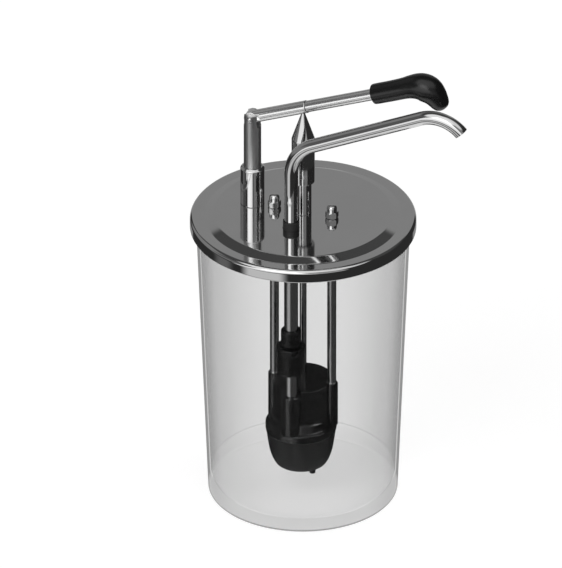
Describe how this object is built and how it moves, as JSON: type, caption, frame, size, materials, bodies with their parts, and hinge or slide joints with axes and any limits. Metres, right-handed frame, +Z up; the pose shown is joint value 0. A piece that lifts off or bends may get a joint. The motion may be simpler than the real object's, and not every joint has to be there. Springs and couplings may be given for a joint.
{
  "type": "sauce dispenser",
  "caption": "Lever pump dispenser: clear tapered container, steel lid with pivot post, lever, cone-tipped push cap and bent spout, piston pump hung on tie rods.",
  "frame": {"origin": "centre of the container's flat underside", "axes": "+Z up; +X towards the lever's grip and the spout's outlet; the riser and the pump's outlet are on the -Y side"},
  "size_m": [0.2561, 0.194, 0.429],
  "materials": {
    "clear_container": "clear, polished",
    "polished_steel": "mirror polished stainless steel",
    "satin_steel": "bright drawn stainless steel",
    "black_plastic": "moulded, semi-gloss",
    "black_rubber": "matt",
    "white_plastic": "turned, satin"
  },
  "bodies": {
    "container": {"container": "clear_container"},
    "lid_assembly": {"lid": "polished_steel", "post_sleeve": "satin_steel", "pivot_post": "satin_steel", "pivot_pin": "satin_steel", "post_washer": "satin_steel", "post_nut": "satin_steel", "guide_tube": "satin_steel", "guide_washer": "satin_steel", "guide_nut": "satin_steel", "guide_bush": "white_plastic", "spout_tube": "polished_steel", "spout_grommet": "black_rubber", "coupling_gland": "black_rubber", "coupling_body": "black_plastic", "coupling_seal": "black_rubber", "outlet_pipe": "satin_steel", "outlet_seal": "black_rubber", "outlet_cage": "white_plastic", "tie_rod_left": "satin_steel", "tie_rod_right": "satin_steel", "dome_nut_left": "polished_steel", "dome_nut_right": "polished_steel", "pump_housing": "black_plastic", "pump_cover": "black_plastic", "pump_base": "black_plastic", "base_seal": "black_rubber", "inlet_cage": "white_plastic"},
    "lever": {"lever_socket": "satin_steel", "lever_rod": "satin_steel", "lever_grip": "black_plastic"},
    "plunger": {"push_cap": "polished_steel", "piston_rod": "satin_steel", "piston": "white_plastic", "piston_seal_lower": "black_rubber", "piston_seal_upper": "black_rubber", "piston_nut": "satin_steel", "return_spring": "satin_steel"},
    "inlet_ball": {"inlet_ball": "satin_steel"},
    "outlet_ball": {"outlet_ball": "satin_steel"}
  },
  "joints": [
    {"name": "lid_lift", "type": "slide", "parent": "container", "child": "lid_assembly", "axis": [0, 0, 1], "range_m": [0, 0.26]},
    {"name": "lever_press", "type": "hinge", "parent": "lid_assembly", "child": "lever", "pos_m": [-0.0464, 0, 0.3552], "axis": [0, 1, 0], "range_deg": [0, 33]},
    {"name": "plunger_slide", "type": "slide", "parent": "lid_assembly", "child": "plunger", "axis": [0, 0, -1], "range_m": [0, 0.028], "stiffness_N_per_m": 400, "springref_m": -0.03, "deforming": ["return_spring"]},
    {"name": "inlet_ball_lift", "type": "slide", "parent": "lid_assembly", "child": "inlet_ball", "axis": [0, 0, 1], "range_m": [0, 0.0026]},
    {"name": "outlet_ball_lift", "type": "slide", "parent": "lid_assembly", "child": "outlet_ball", "axis": [0, 0, 1], "range_m": [0, 0.0035]}
  ],
  "couplings": [
    {"joint": "plunger_slide", "follows": "lever_press", "m_per_rad": 0.0483}
  ]
}
